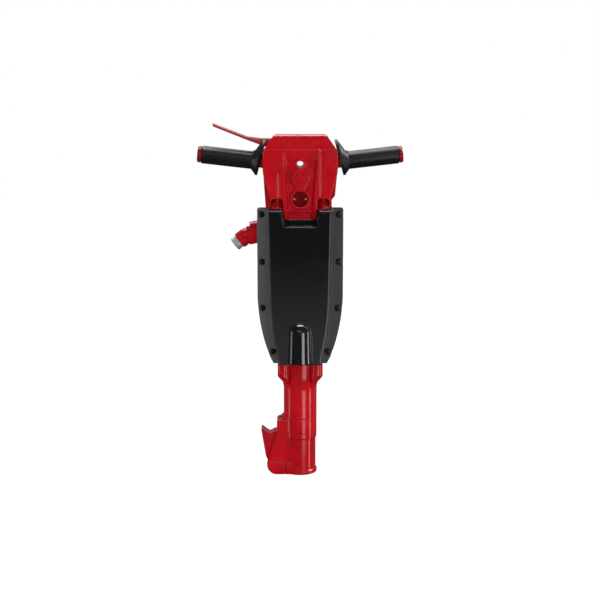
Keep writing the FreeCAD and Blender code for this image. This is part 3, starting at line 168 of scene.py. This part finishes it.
# a normal that turns smoothly round sharp edges
def roundedNormal(tree, radius, samples):
    bevel = addNode(tree, "ShaderNodeBevel", samples=samples)
    bevel.inputs["Radius"].default_value = radius
    return bevel.outputs["Normal"]


# layers are (height, strength, distance); softEdge rounds the shading of sharp edges
def bumpChain(tree, shader, layers, softEdge=None):
    normal = None
    if softEdge:
        normal = roundedNormal(tree, softEdge * mm, samples=4)
    for height, strength, distance in layers:
        bump = addNode(tree, "ShaderNodeBump")
        bump.inputs["Strength"].default_value = strength
        bump.inputs["Distance"].default_value = distance * mm
        tree.links.new(height, bump.inputs["Height"])
        if normal is not None:
            tree.links.new(normal, bump.inputs["Normal"])
        normal = bump.outputs["Normal"]
    tree.links.new(normal, shader.inputs["Normal"])


# Finishes

enamel = {
    "blotchNoise": {"scale": 14.0, "detail": 4.0, "roughness": 0.55},
    "tones": {0.30: (0.33, 0.0008, 0.005), 0.50: (0.43, 0.0015, 0.007), 0.72: (0.50, 0.003, 0.011)},
    "roughNoise": {"scale": 60.0},
    "roughness": {0.35: 0.12, 0.7: 0.22},
    "specular": 0.5,
    "runNoise": {"scale": 38.0, "detail": 2.0, "roughness": 0.4},
    "runs": 0.22,
    "runDepth": 1.2,
    "castNoise": {"scale": 260.0, "detail": 4.0, "roughness": 0.6},
    "cast": 0.10,
    "castDepth": 0.5,
    "knobTones": {0.35: (0.1386, 0.000336, 0.0021), 0.65: (0.21, 0.00126, 0.00462)},
    "knobFrom": 186.0,
    "knobTo": 190.0,
}

# painted light: the lever turns pale pink where its surface faces up, a painted highlight, and dark red where
# it faces down, a painted shade
leverPaintedLight = {
    "tones": {0.0: (0.13, 0.001, 0.003), 0.38: (0.30, 0.003, 0.008), 0.72: (0.60, 0.19, 0.19)},
    "low": -0.35,    # how far the surface faces up, from -1 to 1
    "high": 0.45,
    "share": {0.35: grey(0.8), 0.65: grey(1.0)},
    "samples": 8,
}


# darkKnobs paints the ends outside the grips a darker red; paintedLight is a dictionary like
# leverPaintedLight, which paints highlight and shade by the way the surface faces
def enamelPaint(name, shift, softEdge=1.4, grain=1.0, tint=1.0, dull=0.0, darkKnobs=False, paintedLight=None):
    mat, tree, shader = newMaterial(name)
    vector = objectCoords(tree, shift)
    blotches = noiseOn(tree, vector, **enamel["blotchNoise"])
    tones = {place: scaled(tone, tint) for place, tone in enamel["tones"].items()}
    colour = rampOn(tree, blotches, tones)
    if darkKnobs:
        reach = mathOn(tree, "ABSOLUTE", splitAxes(tree, objectCoords(tree))["X"])
        outside = rangeOn(tree, reach, enamel["knobFrom"] * mm, enamel["knobTo"] * mm)
        colour = mixColours(tree, outside, colour, rampOn(tree, blotches, enamel["knobTones"]))
    # painted highlight on faces turned up, painted shade on faces turned down
    if paintedLight:
        facing = splitAxes(tree, roundedNormal(tree, softEdge * mm, paintedLight["samples"]))
        upward = rangeOn(tree, facing["Z"], paintedLight["low"], paintedLight["high"])
        share = rampOn(tree, blotches, paintedLight["share"])
        colour = mixColours(tree, share, colour, rampOn(tree, upward, paintedLight["tones"]))
    tree.links.new(colour, shader.inputs["Base Color"])
    roughness = {place: grey(rough + dull) for place, rough in enamel["roughness"].items()}
    rough = rampOn(tree, noiseOn(tree, vector, **enamel["roughNoise"]), roughness)
    tree.links.new(rough, shader.inputs["Roughness"])
    shader.inputs["Specular IOR Level"].default_value = enamel["specular"]
    runs = (noiseOn(tree, vector, **enamel["runNoise"]), enamel["runs"] * grain, enamel["runDepth"])
    cast = (noiseOn(tree, vector, **enamel["castNoise"]), enamel["cast"] * grain, enamel["castDepth"])
    bumpChain(tree, shader, [runs, cast], softEdge)
    return mat


mouldedBlack = {
    "mottleNoise": {"scale": 22.0, "detail": 4.0, "roughness": 0.6},
    "unevenness": 0.3,
    "spreadStart": 0.15,
    # the panel's tone runs from its own near black at the top to a greyer painted reflection at its foot
    "panelTop": (0.0055, 0.0057, 0.0060),
    "panelFoot": (0.0225, 0.0230, 0.0235),
    "panelTopAt": 455.0,
    "panelFootAt": 245.0,
    "panelFront": 75.5,
    "hoodTones": {0.3: (0.0055, 0.0057, 0.0060), 0.7: (0.0085, 0.0088, 0.0092)},
    "hoodFade": 2.0,
    # the left flange is painted paler than the right, a painted light
    "flangeLeftLit": (0.118, 0.119, 0.122),
    "flangeRight": (0.041, 0.042, 0.044),
    "halfWidth": 100.0,
    "flangeDepth": 9.2,
    "bodyDepth": 10.4,
    "panelSpecular": 0.6,
    "hoodSpecular": 1.0,
    "flangeSpecular": 0.4,
    "panelRoughness": 0.08,
    "flangeRoughness": 0.42,
    "waveNoise": {"scale": 16.0, "detail": 2.0, "roughness": 0.4},
    "wave": 0.12,
    "waveDepth": 1.5,
    "skinNoise": {"scale": 420.0, "detail": 3.0, "roughness": 0.6},
    "skin": 0.08,
    "skinDepth": 0.3,
    "softEdge": 3.2,
}


# an uneven blend of two tones, from the first place to the last; the shell paints light and shade with it
def paintedLightSpread(tree, value, mottled, firstAt, lastAt, firstTone, lastTone):
    place = rangeOn(tree, value, firstAt * mm, lastAt * mm)
    uneven = mathOn(tree, "MULTIPLY_ADD", mottled, mouldedBlack["unevenness"], place)
    return rampOn(tree, uneven, {mouldedBlack["spreadStart"]: firstTone, 1.0: lastTone})


# gloss black on the panel and its hood, a paler and duller grained skin on the side flange; the panel gets a
# painted reflection towards its foot and the flange a painted light on its left
def mouldedShell(name):
    values = mouldedBlack
    mat, tree, shader = newMaterial(name)
    vector = objectCoords(tree)
    axes = splitAxes(tree, vector)
    depth = mathOn(tree, "ABSOLUTE", axes["Y"])
    onBody = rangeOn(tree, depth, values["flangeDepth"] * mm, values["bodyDepth"] * mm)
    onHood = rangeOn(tree, depth, values["panelFront"] * mm, (values["panelFront"] + values["hoodFade"]) * mm)
    mottled = noiseOn(tree, vector, **values["mottleNoise"])
    # painted reflection: the panel greys towards its foot
    panel = paintedLightSpread(tree, axes["Z"], mottled, values["panelTopAt"], values["panelFootAt"],
                        values["panelTop"], values["panelFoot"])
    body = mixColours(tree, onHood, panel, rampOn(tree, mottled, values["hoodTones"]))
    # painted light: the flange is paler on the left than on the right
    flange = paintedLightSpread(tree, axes["X"], mottled, -values["halfWidth"], values["halfWidth"],
                         values["flangeLeftLit"], values["flangeRight"])
    tree.links.new(mixColours(tree, onBody, flange, body), shader.inputs["Base Color"])
    rough = rangeOn(tree, onBody, low=values["flangeRoughness"], high=values["panelRoughness"])
    tree.links.new(rough, shader.inputs["Roughness"])
    shine = rangeOn(tree, onBody, low=values["flangeSpecular"], high=values["panelSpecular"])
    hoodShine = rangeOn(tree, onHood, low=shine, high=values["hoodSpecular"])
    tree.links.new(hoodShine, shader.inputs["Specular IOR Level"])
    wave = (noiseOn(tree, vector, **values["waveNoise"]), values["wave"], values["waveDepth"])
    skin = (noiseOn(tree, vector, **values["skinNoise"]), values["skin"], values["skinDepth"])
    bumpChain(tree, shader, [wave, skin], values["softEdge"])
    return mat


gripRubber = {
    "toneNoise": {"scale": 45.0, "detail": 5.0, "roughness": 0.65},
    "tones": {0.25: grey(0.004), 0.75: grey(0.010)},
    "roughNoise": {"scale": 120.0},
    "roughness": {0.3: grey(0.30), 0.7: grey(0.42)},
    "specular": 0.5,
    "grainNoise": {"scale": 900.0, "detail": 2.0},
    "grain": 0.25,
    "grainDepth": 0.2,
    "softEdge": 1.2,
}

blackOxide = {
    "toneNoise": {"scale": 260.0, "detail": 4.0, "roughness": 0.6},
    "tones": {0.3: grey(0.006), 0.7: grey(0.018)},
    "roughNoise": {"scale": 90.0},
    "roughness": {0.3: grey(0.30), 0.7: grey(0.48)},
    "specular": 0.35,
    "grainNoise": {"scale": 800.0},
    "grain": 0.15,
    "grainDepth": 0.1,
    "softEdge": 0.6,
}


def plainSkin(name, values):
    mat, tree, shader = newMaterial(name)
    vector = objectCoords(tree)
    tone = rampOn(tree, noiseOn(tree, vector, **values["toneNoise"]), values["tones"])
    tree.links.new(tone, shader.inputs["Base Color"])
    rough = rampOn(tree, noiseOn(tree, vector, **values["roughNoise"]), values["roughness"])
    tree.links.new(rough, shader.inputs["Roughness"])
    shader.inputs["Specular IOR Level"].default_value = values["specular"]
    grain = (noiseOn(tree, vector, **values["grainNoise"]), values["grain"], values["grainDepth"])
    bumpChain(tree, shader, [grain], values["softEdge"])
    return mat


# toneShare and roughShare are parts of the tone and roughness that each steel gives
steelSkin = {
    "toneNoise": {"scale": 80.0, "detail": 4.0, "roughness": 0.6},
    "toneShare": {0.3: 0.72, 0.7: 1.0},
    "roughNoise": {"scale": 300.0},
    "roughShare": {0.3: 0.8, 0.7: 1.25},
    "scratchNoise": {"scale": 700.0, "detail": 2.0},
    "scratches": 0.1,
    "scratchDepth": 0.1,
    "softEdge": 0.5,
}


def bareSteel(name, tone, rough, metallic=1.0):
    values = steelSkin
    mat, tree, shader = newMaterial(name)
    vector = objectCoords(tree)
    tones = {place: scaled(tone, share) for place, share in values["toneShare"].items()}
    base = rampOn(tree, noiseOn(tree, vector, **values["toneNoise"]), tones)
    tree.links.new(base, shader.inputs["Base Color"])
    shader.inputs["Metallic"].default_value = metallic
    roughness = {place: grey(rough * share) for place, share in values["roughShare"].items()}
    finish = rampOn(tree, noiseOn(tree, vector, **values["roughNoise"]), roughness)
    tree.links.new(finish, shader.inputs["Roughness"])
    scratches = (noiseOn(tree, vector, **values["scratchNoise"]), values["scratches"], values["scratchDepth"])
    bumpChain(tree, shader, [scratches], values["softEdge"])
    return mat


gasketFibre = {
    "toneNoise": {"scale": 500.0, "detail": 3.0, "roughness": 0.7},
    "tones": {0.3: (0.12, 0.10, 0.07), 0.7: (0.28, 0.25, 0.18)},
    "roughness": 0.85,
    "grainNoise": {"scale": 900.0},
    "grain": 0.3,
    "grainDepth": 0.1,
}


def fibreSheet(name):
    values = gasketFibre
    mat, tree, shader = newMaterial(name)
    vector = objectCoords(tree)
    tone = rampOn(tree, noiseOn(tree, vector, **values["toneNoise"]), values["tones"])
    tree.links.new(tone, shader.inputs["Base Color"])
    shader.inputs["Roughness"].default_value = values["roughness"]
    grain = (noiseOn(tree, vector, **values["grainNoise"]), values["grain"], values["grainDepth"])
    bumpChain(tree, shader, [grain])
    return mat


# each paint's pattern is shifted, so that neighbours differ; roughness comes last for the steels
finishes = {
    "paint cast head": enamelPaint("paint cast head", (0, 0, 0), softEdge=2.4, darkKnobs=True),
    "paint cast front": enamelPaint("paint cast front", (0.4, 0.1, 0.2), grain=1.3),
    "paint forged latch": enamelPaint("paint forged latch", (0.7, 0.3, 0.5), grain=0.8),
    "paint lever": enamelPaint("paint lever", (0.2, 0.8, 0.1), softEdge=4.5, grain=0.5, dull=0.14,
                               paintedLight=leverPaintedLight),
    "paint fittings": enamelPaint("paint fittings", (0.9, 0.2, 0.6), softEdge=0.8, grain=0.6),
    "paint plugs": enamelPaint("paint plugs", (0.1, 0.6, 0.9), softEdge=0.7, grain=0.5, tint=0.9),
    "paint sunk plug": enamelPaint("paint sunk plug", (0.5, 0.9, 0.3), softEdge=0.6, grain=0.8, tint=0.3),
    "moulded black": mouldedShell("moulded black"),
    "grip rubber": plainSkin("grip rubber", gripRubber),
    "dark bolts": plainSkin("dark bolts", blackOxide),
    "machined steel": bareSteel("machined steel", (0.55, 0.55, 0.57), 0.28),
    # the nipple's thread ridges are painted pale, a painted highlight, and its body dark, a painted shade;
    # both are one steel
    "lit thread steel": bareSteel("lit thread steel", (0.80, 0.79, 0.78), 0.30, metallic=0.5),
    "shaded nipple steel": bareSteel("shaded nipple steel", (0.26, 0.25, 0.25), 0.35, metallic=0.5),
    # the sunk plug's domes are near white, a painted glint
    "plug glint steel": bareSteel("plug glint steel", (0.85, 0.84, 0.82), 0.35, metallic=0.2),
    "spring steel": bareSteel("spring steel", (0.35, 0.35, 0.37), 0.35),
    "bronze": bareSteel("bronze", (0.55, 0.36, 0.16), 0.35),
    "gasket fibre": fibreSheet("gasket fibre"),
}
print("finishes ready,", len(finishes))

nodeFinish = {
    "paint cast head": ["backhead"],
    "paint cast front": ["fronthead", "cylinder"],
    "paint forged latch": ["latch_retainer", "latch_bolt", "latch_bolt_washer"],
    "paint lever": ["throttle_lever"],
    "paint fittings": ["swivel_nut", "swivel_elbow"],
    "paint plugs": ["front_plug", "backhead_nuts", "backhead_studs", "backhead_washers"],
    "paint sunk plug": ["oil_plug"],
    "moulded black": ["muffler_front_shell", "muffler_rear_shell"],
    "grip rubber": ["left_grip", "right_grip"],
    "dark bolts": ["muffler_bolts", "muffler_nuts", "fronthead_bolts", "fronthead_washers"],
    "machined steel": ["chuck_bushing", "latch_plunger", "plunger_plug", "lower_anvil_bushing",
                       "anvil_block", "upper_anvil_bushing", "piston", "valve_box", "valve_plate",
                       "valve_cap", "valve_dowel", "lever_pin", "throttle_valve", "inlet_adapter"],
    "shaded nipple steel": ["inlet_nipple"],
    "spring steel": ["latch_spring", "throttle_spring"],
    "bronze": ["throttle_bushing", "inlet_strainer"],
    "gasket fibre": ["backhead_gasket"],
}
for finish, names in nodeFinish.items():
    for name in names:
        mesh = nodes[name].data
        mesh.materials.clear()
        mesh.materials.append(finishes[finish])
print("nodes dressed")


# Pieces made here

def newPiece(name, bm, finish, body):
    mesh = bpy.data.meshes.new(name)
    bmesh.ops.recalc_face_normals(bm, faces=bm.faces)
    bm.to_mesh(mesh)
    bm.free()
    for polygon in mesh.polygons:
        polygon.use_smooth = True
    mesh.materials.append(finishes[finish])
    piece = bpy.data.objects.new(name, mesh)
    bpy.context.scene.collection.objects.link(piece)
    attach(piece, body)
    return piece


nippleThread = {
    "shoulder": (-121.637, 26.0, 473.463),
    "direction": (-0.788011, 0.0, -0.615661),
    "ridgeCentre": 13.2,
    "ridge": 0.95,
    "ridgeSides": 6,
    "pitch": 2.3,
    "first": 1.7,
    "ridges": 5,
    "steps": 56,
}


# ridges of the pipe thread round the nipple's hose end; their pale steel is a painted highlight
def makeNippleThread():
    values = nippleThread
    bm = bmesh.new()
    upright = Matrix.Rotation(math.radians(90), 4, "X")
    for k in range(values["ridges"]):
        height = (values["first"] + k * values["pitch"]) * mm
        place = Matrix.Translation((values["ridgeCentre"] * mm, 0, height)) @ upright
        ring = bmesh.ops.create_circle(bm, segments=values["ridgeSides"], radius=values["ridge"] * mm,
                                       matrix=place)
        edges = list({edge for vert in ring["verts"] for edge in vert.link_edges})
        bmesh.ops.spin(bm, geom=ring["verts"] + edges, cent=(0, 0, 0), axis=(0, 0, 1),
                       angle=2 * math.pi, steps=values["steps"], use_merge=True)
    turn = Vector(values["direction"]).to_track_quat("Z", "Y").to_matrix().to_4x4()
    shoulder = Matrix.Translation(Vector(values["shoulder"]) * mm)
    bmesh.ops.transform(bm, matrix=shoulder @ turn, verts=bm.verts)
    return newPiece("nippleThread", bm, "lit thread steel", "inlet_fitting")


plugGlints = {
    "reach": 11.0,
    "height": 562.0,
    "middle": -40.4,
    "radius": 2.05,
    "segments": 20,
    "dome": 1.5,
}


# steel domes in the two holes of the sunk plug; their near-white colour is a painted glint
def makePlugGlints():
    values = plugGlints
    bm = bmesh.new()
    flatter = Matrix.Diagonal((1, values["dome"] / values["radius"], 1, 1))
    for side in (-1, 1):
        centre = Vector((side * values["reach"], values["middle"], values["height"])) * mm
        bmesh.ops.create_uvsphere(bm, u_segments=values["segments"], v_segments=values["segments"] // 2,
                                  radius=values["radius"] * mm, matrix=Matrix.Translation(centre) @ flatter)
    return newPiece("plugGlints", bm, "plug glint steel", "breaker_frame")


# each coil spring: its node, the joint its part slides on, the end that stays put, its length and its travel
springs = {
    "throttleSpring": {"node": "throttle_spring", "joint": "throttle_valve_slide",
                       "fixedEnd": 599.1, "length": 23.5, "travel": 3.7},
    "latchSpring": {"node": "latch_spring", "joint": "plunger_slide",
                    "fixedEnd": 106.9, "length": 13.8, "travel": 3.0},
}
springWeld = 0.01    # corners of the node's loose triangles that lie this near are joined


def makeSpring(name):
    values = springs[name]
    source = nodes[values["node"]]
    bm = bmesh.new()
    bm.from_mesh(source.data)
    bmesh.ops.transform(bm, matrix=source.matrix_world, verts=bm.verts)
    bmesh.ops.remove_doubles(bm, verts=bm.verts, dist=springWeld * mm)
    spring = newPiece(name, bm, "spring steel", "breaker_frame")
    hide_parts(values["node"])
    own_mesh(spring)
    return spring


makeNippleThread()
makePlugGlints()
for name in springs:
    makeSpring(name)
print("pieces ready")


# Stage, light and camera

studioFloor = {
    "size": 8.0,
    "gap": 0.0005,
    "colour": (0.92, 0.92, 0.92),
    "roughness": 0.9,
    "glow": 1.12,
    "glowShare": 0.86,
}


# the camera sees the floor nearly white, and the object's shadow still shows on it
def makeFloor():
    values = studioFloor
    bm = bmesh.new()
    bmesh.ops.create_grid(bm, x_segments=1, y_segments=1, size=values["size"])
    mesh = bpy.data.meshes.new("studioFloor")
    bm.to_mesh(mesh)
    bm.free()
    floor = bpy.data.objects.new("studioFloor", mesh)
    floor.location = (0, 0, cadLow.z - values["gap"])
    bpy.context.scene.collection.objects.link(floor)
    mat, tree, shader = newMaterial("studio floor")
    shader.inputs["Roughness"].default_value = values["roughness"]
    shader.inputs["Base Color"].default_value = (*values["colour"], 1)
    glow = addNode(tree, "ShaderNodeEmission")
    glow.inputs["Strength"].default_value = values["glow"]
    path = addNode(tree, "ShaderNodeLightPath")
    seen = mathOn(tree, "MULTIPLY", path.outputs["Is Camera Ray"], values["glowShare"])
    out = [node for node in tree.nodes if node.type == "OUTPUT_MATERIAL"][0]
    tree.links.new(mixShaders(tree, seen, shader.outputs[0], glow.outputs[0]), out.inputs["Surface"])
    mesh.materials.append(mat)
    floor.visible_glossy = False    # reflections show the lamps and the surround, not the floor


# the ranges are parts of a direction of length one, from -1 to 1
surround = {
    "fillFrom": (0.28, -0.96, 0.0),
    "fillRange": (-0.3, 1.0),
    "backFill": 0.30,
    "frontFill": 1.18,
    "behindRange": (-0.2, 0.5),
    "raisedRange": (-0.5, 0.0),
    "shineTone": 0.8,
    "frontShine": 0.022,
    "backShine": 0.3,
}


def greyBackground(tree, tone=1.0, strength=1.0):
    background = addNode(tree, "ShaderNodeBackground")
    background.inputs["Color"].default_value = (*grey(tone), 1)
    feed(tree, strength, background.inputs["Strength"])
    return background.outputs[0]


# the camera sees white; the soft light comes mostly from the front and a little from the right;
# reflections see a dim surround that is paler behind and above
def makeWorld():
    values = surround
    world = bpy.data.worlds.new("studioWorld")
    world.use_nodes = True
    bpy.context.scene.world = world
    tree = world.node_tree
    tree.nodes.clear()
    out = addNode(tree, "ShaderNodeOutputWorld")
    path = addNode(tree, "ShaderNodeLightPath")
    direction = addNode(tree, "ShaderNodeTexCoord").outputs["Generated"]
    towards = addNode(tree, "ShaderNodeVectorMath", operation="DOT_PRODUCT")
    towards.inputs[1].default_value = values["fillFrom"]
    tree.links.new(direction, towards.inputs[0])
    frontal = rangeOn(tree, towards.outputs["Value"], *values["fillRange"], values["backFill"],
                      values["frontFill"])
    axes = splitAxes(tree, direction)
    behind = rangeOn(tree, axes["Y"], *values["behindRange"])
    raised = rangeOn(tree, axes["Z"], *values["raisedRange"])
    level = rangeOn(tree, mathOn(tree, "MULTIPLY", behind, raised), low=values["frontShine"],
                    high=values["backShine"])
    fill = greyBackground(tree, strength=frontal)
    shine = greyBackground(tree, values["shineTone"], level)
    lit = mixShaders(tree, path.outputs["Is Glossy Ray"], fill, shine)
    seen = mathOn(tree, "MAXIMUM", path.outputs["Is Camera Ray"], path.outputs["Is Transmission Ray"])
    tree.links.new(mixShaders(tree, seen, lit, greyBackground(tree)), out.inputs["Surface"])


# turn is in degrees round the object, to the right from its front; height is above its middle
lamps = {
    "softRight": {"turn": 26.0, "away": 2.2, "height": -0.2, "size": (0.8, 1.5), "power": 13.0},
    "stripRight": {"turn": 72.0, "away": 2.0, "height": -0.2, "size": (0.25, 1.6), "power": 6.5},
    "rimLeft": {"turn": -82.0, "away": 2.0, "height": -0.2, "size": (0.3, 1.6), "power": 4.0},
    "overhead": {"turn": 168.0, "away": 0.75, "height": 1.9, "size": (2.8, 1.5), "power": 45.0},
    "highRight": {"turn": 103.0, "away": 1.8, "height": 1.45, "size": (0.7, 0.7), "power": 20.0},
    "topLine": {"turn": 0.0, "away": 0.12, "height": 1.9, "size": (1.4, 0.3), "power": 14.0},
    "frontTop": {"turn": -8.0, "away": 2.2, "height": 1.3, "size": (1.6, 0.5), "power": 2.5},
}
glossOnly = ("highRight", "topLine")    # these only draw lines along the edges


def makeLamps():
    aim = (cadLow + cadHigh) / 2
    for name, values in lamps.items():
        data = bpy.data.lights.new(name, "AREA")
        data.shape = "RECTANGLE"
        data.size, data.size_y = values["size"]
        data.energy = values["power"]
        lamp = bpy.data.objects.new(name, data)
        lamp.visible_diffuse = name not in glossOnly
        turn = math.radians(values["turn"])
        across = values["away"] * math.sin(turn)
        forward = -values["away"] * math.cos(turn)
        lamp.location = (across, forward, aim.z + values["height"])
        lamp.rotation_euler = (aim - lamp.location).to_track_quat("-Z", "Y").to_euler()
        bpy.context.scene.collection.objects.link(lamp)


photoCamera = {
    "distance": 2.2,
    "height": 0.720,
    "tiltDown": 9.39,
    "lens": 66.5,
    "sensor": 36.0,
    "axisPixel": 300.2,
    "imagePixels": 600,
}


def makeCamera():
    values = photoCamera
    data = bpy.data.cameras.new("photoCamera")
    data.lens = values["lens"]
    data.sensor_width = values["sensor"]
    data.shift_x = (values["imagePixels"] / 2 - values["axisPixel"]) / values["imagePixels"]
    camera = bpy.data.objects.new("photoCamera", data)
    camera.location = (0, -values["distance"], values["height"])
    camera.rotation_euler = (math.radians(90 - values["tiltDown"]), 0, 0)
    bpy.context.scene.collection.objects.link(camera)
    bpy.context.scene.camera = camera


makeFloor()
makeWorld()
makeLamps()
makeCamera()
bpy.context.scene.view_settings.view_transform = "Standard"
print("stage ready")
